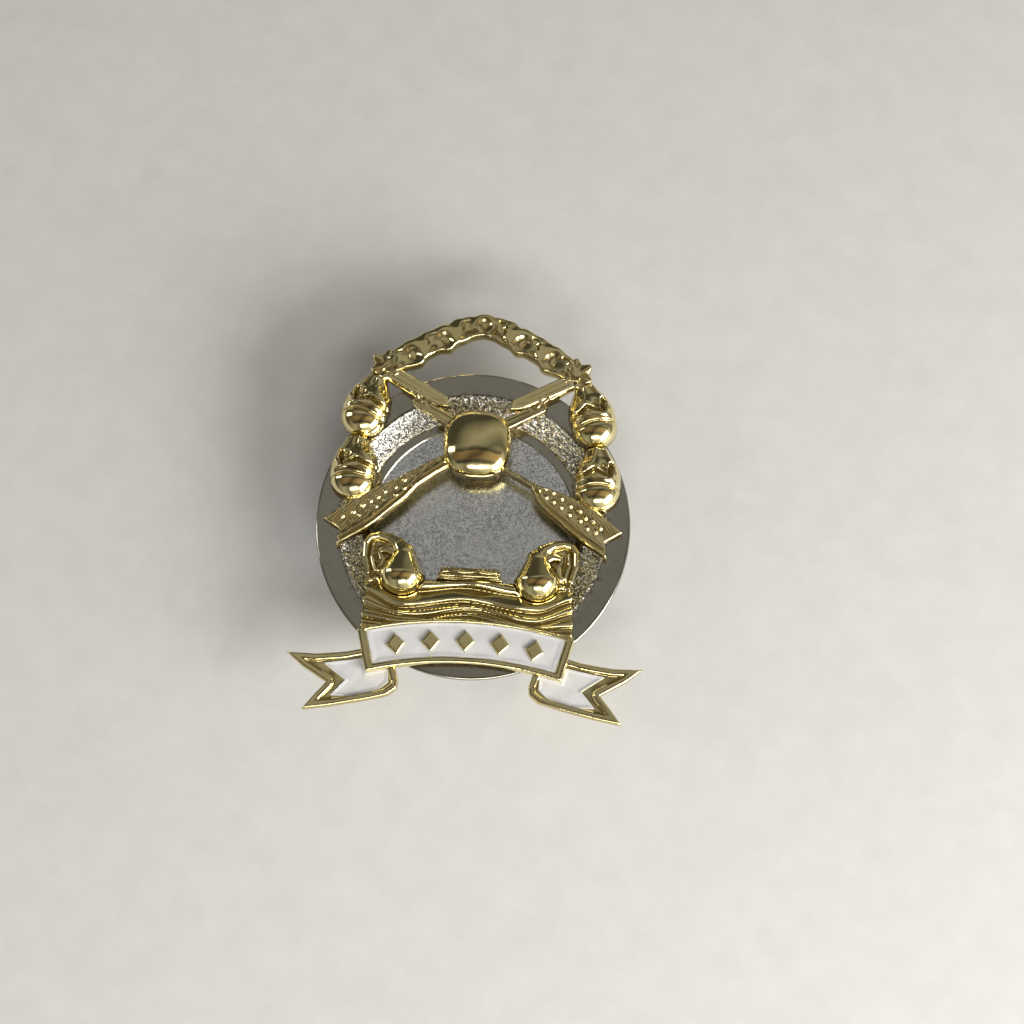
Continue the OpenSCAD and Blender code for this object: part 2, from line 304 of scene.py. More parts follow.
def cavity_of(height, outline, x, y):
    """How far each point stands above (+) or below (-) its surroundings, in mm."""
    def top(px, py):
        return height(px, py, np.maximum(0.0, -outline(px, py)))
    here, around = top(x, y), np.zeros(x.shape)
    reach, n = 0.35, 8
    for k in range(n):
        a = 2 * math.pi * k / n
        around += top(x + reach * math.cos(a), y + reach * math.sin(a))
    return here - around / n


def relief(name, node, outline, height, back, pitch=PITCH):
    """A solid with a flat back whose front is height(x, y, depth inside the outline)."""
    lo, hi = box_mm(node)
    x, y, faces = trimmed_grid(outline, lo - 0.5, hi + 0.5, pitch)
    x, y = np.clip(x, -WIDEST, WIDEST), np.clip(y, LOWEST, HIGHEST)
    z = np.clip(height(x, y, np.maximum(0.0, -outline(x, y))), back + 0.1, hi[2])
    edges = rim_edges(faces)
    rim = sorted({v for e in edges for v in e})
    low = {v: len(x) + k for k, v in enumerate(rim)}
    points = np.stack([x, y, z], 1)
    foot = np.stack([x[rim], y[rim], np.full(len(rim), back)], 1)
    walls = [[a, low[a], low[b], b] for a, b in edges]
    mesh = bpy.data.meshes.new(name)
    mesh.from_pydata((np.concatenate([points, foot]) * MM).tolist(), [], faces + walls)
    cavity = np.concatenate([cavity_of(height, outline, x, y), np.zeros(len(rim))])
    mesh.attributes.new("cavity", "FLOAT", "POINT").data.foreach_set("value", cavity.astype(np.float32))
    bm = bmesh.new()
    bm.from_mesh(mesh)
    bm.verts.ensure_lookup_table()
    loop = [bm.edges.get((bm.verts[low[a]], bm.verts[low[b]])) for a, b in edges]
    made = bmesh.ops.triangle_fill(bm, edges=loop, normal=(0, 0, -1), use_beauty=True)
    for f in [f for f in made["geom"] if isinstance(f, bmesh.types.BMFace)]:
        f.normal_update()
        if f.normal.z > 0:
            f.normal_flip()
    for f in bm.faces:
        f.smooth = True
    for e in loop:
        e.smooth = False
    bm.to_mesh(mesh)
    bm.free()
    return add_piece(name, mesh, node)


def new_object(name, data):
    made = bpy.data.objects.new(name, data)
    bpy.context.scene.collection.objects.link(made)
    return made


def add_piece(name, mesh, node, body="badge"):
    piece = new_object(name, mesh)
    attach(piece, body)
    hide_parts(node)
    return piece


def both_sides(stem, outline, height, back, sided=False, **more):
    """The same relief on the left and on the right, each with waves of its own."""
    made = []
    for side, sign in (("left", -1.0), ("right", 1.0)):
        def out(x, y, sign=sign):
            return outline(x * sign, y, sign) if sided else outline(x * sign, y)

        def top(x, y, depth, sign=sign):
            return height(x * sign, y, depth, sign)
        made.append(relief(f"{side}_{stem}_relief", f"{side}_{stem}", out, top, back, **more))
    return made


# ---- emblem outlines
def banded(x, y, path, k):
    """Smooth union of a chain of (x, y, radius) stops."""
    d = np.full(x.shape, 1e3)
    for a, b in zip(path, path[1:]):
        d = smin(d, capsule(x, y, a[:2], b[:2], a[2], b[2]), k)
    return d


def boss_radius(x, y):
    """0 at the boss's middle, 1 at its outline, which is a squared-off oval."""
    u = np.abs(x - BOSS_C[0]) / BOSS_HALF[0]
    v = np.abs(y - BOSS_C[1]) / BOSS_HALF[1]
    return (u ** 2.6 + v ** 2.6) ** (1 / 2.6)


def arch_outline(x, y):
    x = np.abs(x)
    d = banded(x, y, BAND, 0.25)
    for k, (cx, cy, r) in enumerate([CROWN] + BLOSSOMS):
        turn = np.arctan2(y - cy, x - cx)
        d = smin(d, disc(x, y, cx, cy, r - 0.06) + 0.07 * np.sin(5 * turn + 2.2 * k), 0.3)
    for nick in ((4.85, 26.75, 0.5), (8.75, 24.85, 0.45), (1.35, 28.0, 0.35)):
        d = smax(d, -disc(x, y, *nick), 0.25)
    return d


def rosette_turn(x, y):
    return np.arctan2(y - ROSETTE[1], x - ROSETTE[0]) - math.radians(35)


def rosette_outline(x, y):
    turn = rosette_turn(x, y)
    petals = 0.3 * np.cos(6 * turn) * ease((np.cos(turn) + 0.3) / 1.2)
    return disc(x, y, ROSETTE[0], ROSETTE[1], 1.98) - petals


def boll_local(x, y, boll):
    return turned(x - boll[0], y - boll[1], math.radians(boll[2]))


def boll_outline(u, v):
    calyx = [(-1.35, CALYX_L), (1.35, CALYX_L), (2.75, 3.0), (2.97, 1.6), (2.85, 0.4),
             (-2.85, 0.4), (-2.97, 1.6), (-2.75, 3.0)]
    return smin(np.hypot(u, v) - BOLL_R, polygon(u, v, calyx) - 0.04, 0.2)


def lightning_outline(x, y):
    return polygon(x, y, [
        (11.4, 20.2), (4.2, 16.15), (4.0, 14.9), (6.0, 15.15), (2.9, 13.6), (3.3, 12.0),
        (8.5, 14.95), (8.75, 15.6), (8.1, 15.85), (12.2, 18.3),
    ]) - 0.05


def fletching_outline(x, y, side):
    return polygon(x, y, FLETCH_UPPER[side] + FLETCH_END + FLETCH_LOWER[side][-2::-1])


def volute_outline(x, y):
    plate = polygon(x, y, [
        (8.5, -9.5), (8.5, -4.5), (9.2, -3.4), (10.6, -2.6), (12.0, -2.4), (13.2, -3.4),
        (13.3, -5.2), (12.9, -7.2), (12.6, -8.7), (11.5, -9.0),
    ])
    return smin(plate, banded(x, y, HOOK, 0.05), 0.05)


def step_outline(x, y):
    return polygon(x, y, [(-3.6, -6.1), (3.6, -6.1), (4.2, WAVE_TOP), (-4.2, WAVE_TOP)])


def scroll_polar(x, y):
    """Radius and angle about the centre that the scroll arches about."""
    return np.hypot(x, y - SCROLL_Y), np.arctan2(x, y - SCROLL_Y)


def panel_outline(x, y):
    r, a = scroll_polar(x, y)
    mid = SCROLL_R - SCROLL_W / 2
    return smax(np.abs(r - mid) - SCROLL_W / 2, (np.abs(a) - SCROLL_HALF) * r, 0.15)


def rim_share(x, y):
    """Distance inside the panel's edge as a share of the rim there; 1 where the enamel starts."""
    r, a = scroll_polar(x, y)
    top, bottom = (SCROLL_R - r) / RIM_TOP, (r - SCROLL_R + SCROLL_W) / RIM_BOTTOM
    ends = (SCROLL_HALF - np.abs(a)) * r / RIM_END
    return -smax(smax(-top, -bottom, 0.12), -ends, 0.12)


def field_outline(x, y):
    return (0.94 - rim_share(x, y)) * 0.7


def wave_outline(x, y):
    r, _ = scroll_polar(x, y)
    ax = np.abs(x)
    sides = ax - WAVE_SIDE - 0.04 * (WAVE_TOP - y) + 0.08 * np.sin(3.1 * y)
    top = y - WAVE_TOP + 0.75 * ease((ax - 11.2) / 1.6)
    d = smax(smax(sides, top, 0.2), SCROLL_R - 0.1 - r, 0.05)
    return np.maximum(d, -disc(ax, y, VOLUTE[0], VOLUTE[1], VOLUTE_R - 0.03))


def tail_outline(x, y):
    return polygon(x, y, TAIL)


def tail_field_outline(x, y):
    return np.maximum(polygon(x, y, TAIL_FIELD) - 0.04, -panel_outline(x, y))


# ---- emblem reliefs
def round_top(t):
    """Height of a round-topped bar, 1 on its middle line and 0 at |t| = 1."""
    return np.sqrt(np.maximum(0.0, 1 - np.minimum(np.abs(t), 1) ** 2))


def blossom_height(x, y, cx, cy, r, k):
    """One flower: a soft saucer with a lifted far side round an oval bead."""
    dx, dy = x - cx, y - cy + 0.2
    rho = np.hypot(dx, dy) / r
    turn = np.arctan2(dy, dx)
    lift = 0.24 * bump_at(rho, 0.85, 0.36) * (1 + 0.6 * np.cos(turn - 1.9 - 0.3 * k))
    u, v = turned(dx, dy, 0.5 + 0.35 * k)
    bead = 0.22 * round_top(np.hypot(u / 0.62, v / 0.42))
    return lift - 0.36 * bump_at(rho, 0.0, 0.5) + bead


def arch_height(x, y, depth):
    """A smooth waved band, one saucer to each flower and a curled fold between two flowers."""
    side = np.where(x < 0, -1.0, 1.0)
    ax = np.abs(x)
    z = BED + 0.2 + 0.2 * ease(depth / 1.2)
    for k, (cx, cy, r) in enumerate([CROWN] + BLOSSOMS):
        z = z + blossom_height(ax, y, cx, cy, r, k)
    for k, (lx, ly) in enumerate(LEAVES):
        lean = 0.3 * (k - 1)
        swell = capsule(ax, y, (lx + 0.2, ly + 0.5), (lx + 0.1 - lean, ly - 1.0))
        z = z + 0.2 * bump_at(swell, 0.0, 0.6)
        hook = polyline(ax, y, [
            (lx - 0.75, ly + 1.05), (lx + 0.05, ly + 0.75), (lx + 0.25, ly + 0.3),
            (lx - 0.1, ly + 0.05), (lx - 0.05, ly - 0.3 - 0.15 * k),
        ])
        z = z - 0.3 * bump_at(hook, 0.0, 0.13) * (1 + 0.25 * side)
    below = np.interp(ax, [p[0] for p in BAND], [p[1] for p in BAND]) - y
    lip = 0.14 * bump_at(depth, 0.2, 0.14) * ease(below / 0.5)
    return z + lip + 0.02 * wobble(x, y, 3) - fillet(depth, 0.3)


def rosette_height(x, y, depth, side):
    """Soft folds that fan out from a knot, where garland, boll and bolt meet."""
    rho = np.hypot(x - ROSETTE[0], y - ROSETTE[1])
    turn = rosette_turn(x, y)
    folds = 0.17 * np.cos(6 * turn + 0.4 * side) * ease((rho - 0.3) / 1.2)
    ribbon = 0.16 * bump_at(along(x, y, (11.2, 21.4), (13.6, 18.6))[1], 0.15, 0.5)
    upper_eye = bump_at(disc(x, y, 12.05, 20.75, 0), 0.0, 0.22)
    lower_eye = bump_at(disc(x, y, 12.5, 19.2, 0), 0.0, 0.24)
    eyes = -0.4 * upper_eye - 0.4 * lower_eye
    return BED + 0.28 + folds + ribbon + eyes - fillet(depth, 0.35)


def boll_height(u, v, depth, side, node_top):
    """A smooth ball under a collar; above it a hooded fold, its hollow and leaf ridges."""
    rise = node_top - SEAT - 0.55
    ball = SEAT + 0.3 + rise * np.sqrt(np.maximum(0.0, 1 - clamp01(np.hypot(u, v) / BOLL_R) ** 2))
    stops = [0.2, 1.6, 3.0, 4.2, CALYX_L]
    width = np.interp(v, stops, [3.0, 3.06, 2.75, 2.0, 1.42])
    crown = np.interp(v, stops, [rise, 1.02 * rise, 0.84 * rise, 0.6 * rise, 1.5])
    w = np.minimum(np.abs(u) / width, 1)
    shell = SEAT + 0.3 + crown * (1 - w ** 2.6) ** 0.5
    hem = 0.1 + 0.22 * np.cos(0.95 * u + 0.4 * side) + 0.05 * side * u
    collar = 0.2 * bump_at(v, hem + 0.75, 0.45)
    peak = 2.2 + 0.15 * side
    fold = polyline(u, v, [
        (-2.7, 1.25), (-1.5, 1.65), (-0.55, peak), (0.35, 1.85), (1.35, 1.45), (1.75, 3.1),
    ])
    hood = 0.16 * bump_at(fold, 0.5, 0.25) - 0.55 * bump_at(fold, 0.0, 0.26)
    shaded_crevice_mask = -0.75 * bump_at(np.hypot((u - 0.85) / 0.85, (v - 2.45) / 0.95), 0.0, 0.8)
    leaf = 0.28 * bump_at(polyline(u, v, [(-2.3, 2.2), (-0.9, 3.3), (-0.3, 5.3)]), 0.0, 0.28)
    leaf = leaf + 0.28 * bump_at(polyline(u, v, [(2.4, 1.8), (1.6, 3.8), (0.8, 5.3)]), 0.0, 0.26)
    strands = 0.09 * np.cos(5.0 * u + 1.2 * v + side) * ease((v - 3.3) / 1.2)
    calyx = shell + collar + hood + shaded_crevice_mask + leaf + strands
    shade = -0.24 * bump_at(v - hem, -0.12, 0.16)
    return mix(ball + shade, np.maximum(calyx, SEAT + 0.7), ease((v - hem) / 0.16)) - fillet(depth, 0.3)


def lightning_height(x, y, depth, side):
    """Two overlapping bars, one a step lower, each with a bevel and a raised lower edge."""
    z = np.full(x.shape, BED - 0.35)
    for a, b, level in (((4.0, 15.35), (12.0, 19.3), 0.3), ((3.0, 12.75), (12.4, 17.9), 0.02)):
        _, n = along(x, y, a, b)
        face = level + 0.12 * np.cos(1.7 * n) + 0.2 * bump_at(n, -0.72, 0.16)
        z = np.maximum(z, BED + face - 0.9 * ease((np.abs(n) - 0.82) / 0.3))
    for a, b in (((7.5, 15.5), (8.1, 16.7)), ((8.4, 15.8), (8.9, 16.9))):
        z = z + 0.22 * bump_at(capsule(x, y, a, b), 0.0, 0.2)
    return z - 0.1 * bump_at(depth, 0.75, 0.25) + 0.03 * wobble(x, y, 2) - fillet(depth, 0.3)


def fletching_height(x, y, depth, side):
    """A feathered arrow end: fine barbs, beads in two rows and a raised lip on its lower edge."""
    s, n = along(x, y, FLETCH_A, FLETCH_B)
    vane = ease((s - 3.6) / 1.4)
    edge = np.abs(polyline(x, y, FLETCH_LOWER[side]))
    lip = 0.34 * bump_at(edge, 0.28, 0.22) + 0.14 * bump_at(edge, 1.0, 0.2) * vane
    phase = n / 0.36 + s * 0.75 + 0.2 * np.sin(1.1 * s + side)
    patchy = 0.6 + 0.4 * np.sin(3.1 * s + 2 * n)
    barbs = 0.04 * np.sin(2 * math.pi * phase) * patchy * ease((edge - 0.8) / 0.3)
    dish = -0.16 * bump_at(n, 0.35, 0.8) * vane
    beads = np.zeros(x.shape)
    for row, (offset, start, step, count) in enumerate(BEADS):
        for k in range(count):
            along_s = start + step * k + 0.2 * math.sin(5.1 * k + row + side)
            r = np.hypot(s - along_s, n - offset - 0.03 * along_s - 0.12 * math.sin(2.7 * k + side))
            beads = np.maximum(beads, round_top(r / 0.29))
    quill = 0.2 * bump_at(n, 0.05, 0.22) * (1 - vane)
    beads = beads * (0.34 if side > 0 else 0.16) * ease(depth / 0.4)
    return BED + lip + barbs + dish + beads + quill + 0.04 * wobble(x, y, 4) - fillet(depth, 0.3)


def tube_height(x, y, path, up, swell):
    """Height of a round tube along (x, y, radius) stops; 0 outside it."""
    best = np.zeros(x.shape)
    for a, b in zip(path, path[1:]):
        t, d = nearest(x, y, a, b)
        r = mix(a[2], b[2], t)
        across = d / r
        best = np.maximum(best, np.where(across < 1, up + swell * r ** 0.75 * round_top(across), 0.0))
    return best


def volute_height(x, y, depth, side):
    """A tube that thickens as it curls over into a ball, round a hollow with a leaf in it."""
    swell = (box_mm("right_volute")[1][2] - SEAT - 0.35) / VOLUTE_R ** 0.75
    best = SEAT + 0.35 + 0.08 * np.sin(2.2 * x + 2.6 * y)
    best = np.maximum(best, SEAT + tube_height(x, y, HOOK, 0.35, swell))
    for path, up in LEAF_TUBES:
        best = smax(best, SEAT + tube_height(x, y, path, up, 1.0), 0.12)
    return best + 0.02 * wobble(x, y, 11) - fillet(depth, 0.12)


def step_height(x, y, depth):
    ledge = 0.5 * ease((depth - 0.28) / 0.14) - 0.3 * bump_at(y, -6.95 + 0.05 * np.sin(2 * x), 0.1)
    return BED - 0.1 + ledge + 0.06 * np.sin(2.1 * x + 4 * y) + 0.04 * wobble(x, y, 12) - fillet(depth, 0.2)


def wave_height(x, y, depth):
    """Bands that lean like waves: each rises gently to a crest at its foot, then drops."""
    ax = np.abs(x)
    dip = np.sin(math.pi * ax / 15) ** 2
    edges = [
        at - sag * dip + rise * ease((ax - 8.5) / 4.5) + 0.12 * np.sin(0.55 * x + 2.1 * k)
        for k, (at, sag, rise, _) in enumerate(BANDS)
    ]
    z = np.full(x.shape, BED - 0.4)
    for k in range(len(BANDS) - 1):
        t = (edges[k] - y) / (edges[k] - edges[k + 1])
        if k == 0:
            crest = np.sin(math.pi * clamp01(t)) ** 0.7
        else:
            crest = clamp01(t) ** 1.15 * np.sqrt(1 - clamp01(t) ** 6)
        swell = BANDS[k][3] * (1 + 0.18 * np.sin(0.9 * x + 1.7 * k))
        groove = -0.12 * bump_at(t, 0.45 + 0.1 * np.sin(0.6 * x + k), 0.07) * (k > 1)
        z = np.where((t >= 0) & (t < 1), BED - 0.4 + swell * crest + groove, z)
    return z + 0.02 * wobble(x, y, 5) - fillet(depth, 0.3)


def panel_height(x, y, depth):
    t = rim_share(x, y)
    rim = BED + 0.12 + 0.5 * round_top((t - 0.46) / 0.54) ** 0.8
    return np.where(t < 0.99, rim, BED - 0.02) + 0.03 * wobble(x, y, 6) - fillet(depth, 0.15)


def tail_height(x, y, depth, side):
    rim = TAIL_BED + 0.08 + 0.42 * round_top((depth - 0.42) / 0.5) + 0.05 * wobble(x, y, 13)
    inside = tail_field_outline(x, y) < -0.03
    top = np.where(inside, TAIL_BED - 0.02, rim)
    return np.where(panel_outline(x, y) < -0.15, SEAT, top) - fillet(depth, 0.15)


def enamel_height(bed, thick):
    def height(x, y, depth, side=0.0):
        meniscus = 0.1 * (1 - ease(depth / 0.5))
        return bed + thick + meniscus + 0.03 * wobble(1.6 * x, 1.6 * y, 8 + side)
    return height


def make_boss():
    """A polished pillow, built in rings so that its edge stays smooth."""
    rings, segments = 44, 160
    shoulder = SEAT + 1.7
    rise = BOSS_TOP - shoulder
    turn = 2 * math.pi * np.arange(segments) / segments
    reach = 1 / boss_radius(BOSS_C[0] + np.cos(turn), BOSS_C[1] + np.sin(turn))

    def ring(share, heights):
        return [
            (BOSS_C[0] + share * r * math.cos(t), BOSS_C[1] + share * r * math.sin(t), z)
            for r, t, z in zip(reach, turn, heights)
        ]
    points = [(BOSS_C[0], BOSS_C[1], BOSS_TOP)]
    for k in range(1, rings + 1):
        s = math.sin(math.pi / 2 * k / rings)
        dent = 0.02 * np.sin(3 * turn + 1) * s ** 2
        points += ring(s, shoulder + rise * math.sqrt(max(0.0, 1 - s ** 2.05)) + dent)
    for z in (shoulder - 0.4, SEAT):
        points += ring(1.0, [z] * segments)
    faces = []
    for j in range(segments):
        m = (j + 1) % segments
        faces.append([0, 1 + j, 1 + m])
        for k in range(rings + 1):
            a, b = 1 + k * segments, 1 + (k + 1) * segments
            faces.append([a + j, b + j, b + m, a + m])
    last = 1 + (rings + 1) * segments
    faces.append([last + j for j in reversed(range(segments))])
    mesh = bpy.data.meshes.new("centre_boss_dome")
    mesh.from_pydata([(x * MM, y * MM, z * MM) for x, y, z in points], [], faces)
    for face in mesh.polygons:
        face.use_smooth = len(face.vertices) < 5
    mesh.attributes.new("cavity", "FLOAT", "POINT")
    return add_piece("centre_boss_dome", mesh, "centre_boss")


def make_emblem():
    gilt = [
        make_boss(),
        relief("wreath_arch_relief", "wreath_arch", arch_outline, arch_height, SEAT + 0.03, pitch=0.08),
        relief("base_step_relief", "base_step", step_outline, step_height, SEAT + 0.05, pitch=0.08),
        relief("wave_base_relief", "wave_base", wave_outline, wave_height, SEAT + 0.02),
        relief("scroll_panel_relief", "scroll_panel", panel_outline, panel_height, SEAT),
    ]
    gilt += both_sides("rosette", rosette_outline, rosette_height, SEAT, pitch=0.07)
    gilt += both_sides("lightning", lightning_outline, lightning_height, SEAT + 0.05, pitch=0.08)
    gilt += both_sides("fletching", fletching_outline, fletching_height, SEAT + 0.04, sided=True, pitch=0.07)
    gilt += both_sides("volute", volute_outline, volute_height, SEAT + 0.06, pitch=0.08)
    gilt += both_sides("scroll_tail", tail_outline, tail_height, TAIL_BACK)
    for place, boll in (("upper", UPPER_BOLL), ("lower", LOWER_BOLL)):
        node_top = box_mm(f"right_{place}_boll")[1][2]

        def outline(x, y, boll=boll):
            return boll_outline(*boll_local(x, y, boll))

        def height(x, y, depth, side, boll=boll, node_top=node_top):
            u, v = boll_local(x, y, boll)
            return boll_height(u, v, depth, side, node_top)
        back = SEAT + (0.07 if place == "upper" else 0.02)
        gilt += both_sides(f"{place}_boll", outline, height, back, pitch=0.08)
    return gilt


def make_enamel():
    made = [relief("panel_enamel_fill", "panel_enamel", field_outline, enamel_height(BED, 0.34), BED - 0.05)]
    made += both_sides("tail_enamel", tail_field_outline, enamel_height(TAIL_BED, 0.16), TAIL_BED - 0.05)
    return made


def make_lozenges():
    """Five plain raised lozenges along the panel."""
    n, pitch, half_w, half_h = 5, 4.3, 1.22, 1.38
    mid = SCROLL_R - SCROLL_W / 2

    def local(x, y):
        r, a = scroll_polar(x, y)
        s = a * mid
        k = np.clip(np.round(s / pitch), -(n // 2), n // 2)
        return s - k * pitch, r - mid

    def outline(x, y):
        u, v = local(x, y)
        return (np.abs(u) / half_w + np.abs(v) / half_h - 1) * half_w * 0.75

    def height(x, y, depth):
        return BED + 0.42 + 0.34 * round_top(1 - clamp01(depth / 0.6)) + 0.03 * wobble(3 * x, 3 * y, 9)
    return relief("panel_studs_relief", "panel_studs", outline, height, BED - 0.05, pitch=0.07)


# ---- lathe work
def lathe(name, node, profile, segments, body="badge", shape=None):
    """Turns a closed profile of (radius, z) in mm about the node's own axis.
    shape(radius, z, angle) may move each point."""
    lo, hi = box_mm(node)
    cx, cy = (lo[0] + hi[0]) / 2, (lo[1] + hi[1]) / 2
    rows = np.array(profile)
    angle = 2 * math.pi * np.arange(segments) / segments
    r = np.repeat(rows[:, :1], segments, 1)
    z = np.repeat(rows[:, 1:], segments, 1)
    a = np.repeat(angle[None, :], len(rows), 0)
    if shape:
        r, z = shape(r, z, a)
    points = np.stack([cx + r * np.cos(a), cy + r * np.sin(a), z], 2).reshape(-1, 3) * MM
    faces = []
    for i in range(len(rows)):
        k = (i + 1) % len(rows)
        for j in range(segments):
            m = (j + 1) % segments
            faces.append([i * segments + j, i * segments + m, k * segments + m, k * segments + j])
    mesh = bpy.data.meshes.new(name)
    mesh.from_pydata(points.tolist(), [], faces)
    mesh.validate()
    bm = bmesh.new()
    bm.from_mesh(mesh)
    bmesh.ops.remove_doubles(bm, verts=bm.verts, dist=1e-7)
    bmesh.ops.recalc_face_normals(bm, faces=bm.faces)
    for e in bm.edges:
        e.smooth = len(e.link_faces) != 2 or e.calc_face_angle() < math.radians(28)
    for f in bm.faces:
        f.smooth = True
    bm.to_mesh(mesh)
    bm.free()
    return add_piece(name, mesh, node, body)


def spread(a, b, n):
    """n + 1 points from a to b."""
    return [(mix(a[0], b[0], t), mix(a[1], b[1], t)) for t in np.linspace(0, 1, n + 1)]


def arc(cx, cy, r, from_deg, to_deg, n):
    turns = np.radians(np.linspace(from_deg, to_deg, n + 1))
    return [(cx + r * math.cos(t), cy + r * math.sin(t)) for t in turns]


FLOOR_R, LEDGE_R, FLANGE_R = 13.1, 14.3, 16.9
STEP_H = 0.15
MIDDLE_R = 0.8  # the lathe leaves this open, and it is filled afterwards
THREAD_PITCH = 0.5


def slope_points(offset, n):
    """The dish's concave wall, from the ledge up to the flange."""
    rise = SEAT - SHEET_T - STEP_H
    return [
        (LEDGE_R + (FLANGE_R - LEDGE_R) * t + offset[0], SHEET_T + STEP_H + rise * t ** 1.3 + offset[1])
        for t in np.linspace(0, 1, n + 1)
    ]


def dish_shape(r, z, a):
    """Hammered wall, a little tremble on the rim and a faint dent or two on the flange."""
    rng = np.random.default_rng(7)
    wall = bump_at(r, (LEDGE_R + FLANGE_R) / 2 + 0.15, 1.2) * (z > SHEET_T + STEP_H * 0.5)
    grain = rng.normal(0, 1.0, r.shape)
    for axis in [0] * 6 + [1] * 3:
        grain = np.roll(grain, 1, axis) + 2 * grain + np.roll(grain, -1, axis)
    peel = 0.075 * grain / np.std(grain)
    tremble = 0.01 * np.sin(31 * a) * np.sin(17 * a + 1) * (r > DISH_R - 0.25) * (r < DISH_R - 0.02)
    sway = 0.02 * np.sin(2 * a + 0.6) * bump_at(r, 18.6, 0.9)
    return np.minimum(r, DISH_R), z + peel * wall + tremble + np.minimum(sway, 0)


def make_dish():
    lip = SHEET_T / 2
    profile = spread((MIDDLE_R, SHEET_T), (FLOOR_R, SHEET_T), 24)
    profile += [(FLOOR_R + 0.03, SHEET_T + 0.07), (FLOOR_R + 0.12, SHEET_T + STEP_H)]
    profile += spread((FLOOR_R + 0.3, SHEET_T + STEP_H), (LEDGE_R - 0.15, SHEET_T + STEP_H), 4)
    profile += slope_points((0, 0), 30)
    profile += spread((FLANGE_R + 0.2, SEAT), (DISH_R - lip - 0.1, SEAT), 12)
    profile += arc(DISH_R - lip, SEAT - lip, lip, 90, -90, 12)
    back = slope_points((0.25, -SHEET_T), 12)
    profile += spread((DISH_R - lip - 0.1, SEAT - SHEET_T), (FLANGE_R + 0.4, SEAT - SHEET_T), 4)
    profile += [(r, max(0.02, z)) for r, z in reversed(back)]
    profile += [(FLOOR_R + 0.5, 0.0)]
    profile += spread((FLOOR_R + 0.2, 0.0), (MIDDLE_R, 0.0), 12)
    return lathe("backing_dish_plate", "backing_dish", profile, 720, shape=dish_shape)


def close_middle_and_drill(dish):
    """Fills the lathe's small middle hole and drills the two stud holes."""
    bm = bmesh.new()
    bm.from_mesh(dish.data)
    inner = [f for f in bm.faces if all(v.co.xy.length < (MIDDLE_R + 0.01) * MM for v in f.verts)]
    bmesh.ops.delete(bm, geom=inner, context="FACES")
    open_edges = [e for e in bm.edges if e.is_boundary]
    bmesh.ops.holes_fill(bm, edges=open_edges, sides=0)
    bmesh.ops.recalc_face_normals(bm, faces=bm.faces)
    bm.to_mesh(dish.data)
    bm.free()
    hole_r = (box_mm("upper_stud")[1][0] + 0.05) * MM
    for y in STUD_Y.values():
        bm = bmesh.new()
        bmesh.ops.create_cone(bm, cap_ends=True, segments=48, radius1=hole_r, radius2=hole_r, depth=4 * MM)
        bmesh.ops.translate(bm, verts=bm.verts, vec=(0, y * MM, SHEET_T * MM / 2))
        drill_mesh = bpy.data.meshes.new("drill")
        bm.to_mesh(drill_mesh)
        bm.free()
        drill = new_object("drill", drill_mesh)
        cut = dish.modifiers.new("cut", "BOOLEAN")
        cut.object, cut.operation, cut.solver = drill, "DIFFERENCE", "EXACT"
        graph = bpy.context.evaluated_depsgraph_get()
        drilled = bpy.data.meshes.new_from_object(dish.evaluated_get(graph))
        dish.modifiers.clear()
        dish.data = drilled
        bpy.data.objects.remove(drill)
    dish.data.name = dish.name
    for face in dish.data.polygons:
        face.use_smooth = not (abs(face.normal.z) > 0.9999 and face.center.xy.length < FLOOR_R * MM)


def make_stud(side):
    """Shoulder, plain shank and a cut thread with a rounded start."""
    lo, hi = box_mm(f"{side}_stud")
    shoulder, shank, crest = (hi[0] - lo[0]) / 2, 1.5, 1.375
    bottom, grip_end = lo[2], WASHER_FRONT
    depth = 0.2
    profile = [(0.001, hi[2] - 0.01), (shoulder - 0.1, hi[2] - 0.01), (shoulder, hi[2] - 0.1)]
    profile += spread((shoulder, hi[2] - 0.3), (shoulder, 0.06), 3) + [(shoulder - 0.06, 0.0), (shank, 0.0)]
    profile += spread((shank, -0.1), (shank, grip_end + 0.08), 6) + [(shank - 0.08, grip_end)]
    profile += spread((crest, grip_end - 0.02), (crest, bottom + 0.2), 72)
    profile += [(crest - 0.12, bottom + 0.08), (crest - 0.3, bottom), (0.001, bottom)]

    def shape(r, z, a):
        turn = (z / THREAD_PITCH + a / (2 * math.pi)) % 1.0
        vee = depth * (1 - np.abs(2 * turn - 1)) ** 0.8
        cut = (z < grip_end) & (z > bottom + 0.1) & (r > 1.2)
        return np.where(cut, r - vee, r), z
    return lathe(f"{side}_stud_turned", f"{side}_stud", profile, 96, shape=shape)


def make_spacer(side):
    bore, out = 1.8, SPACER_R
    low, high = SHEET_T, SEAT
    c = 0.12
    profile = [(bore, low), (out - c, low), (out, low + c)]
    profile += spread((out, low + 0.3), (out, high - 0.3), 6)
    profile += [(out, high - c), (out - c, high), (bore, high)]
    return lathe(f"{side}_spacer_turned", f"{side}_spacer", profile, 96)


def make_washer(side):
    bore, c = 1.6, 0.1
    out, low, high = WASHER_R, WASHER_BACK, WASHER_FRONT
    profile = [(bore + c, low)] + spread((bore + 0.3, low), (out - 0.3, low), 4)
    profile += [(out - c, low)] + arc(out - c, low + c, c, -90, 0, 4) + arc(out - c, high - c, c, 0, 90, 4)
    profile += spread((out - 0.3, high), (bore + 0.3, high), 4)
    profile += [(bore + c, high), (bore, high - c), (bore, low + c)]
    return lathe(f"{side}_washer_pressed", f"{side}_washer", profile, 120, body=f"{side}_washer")


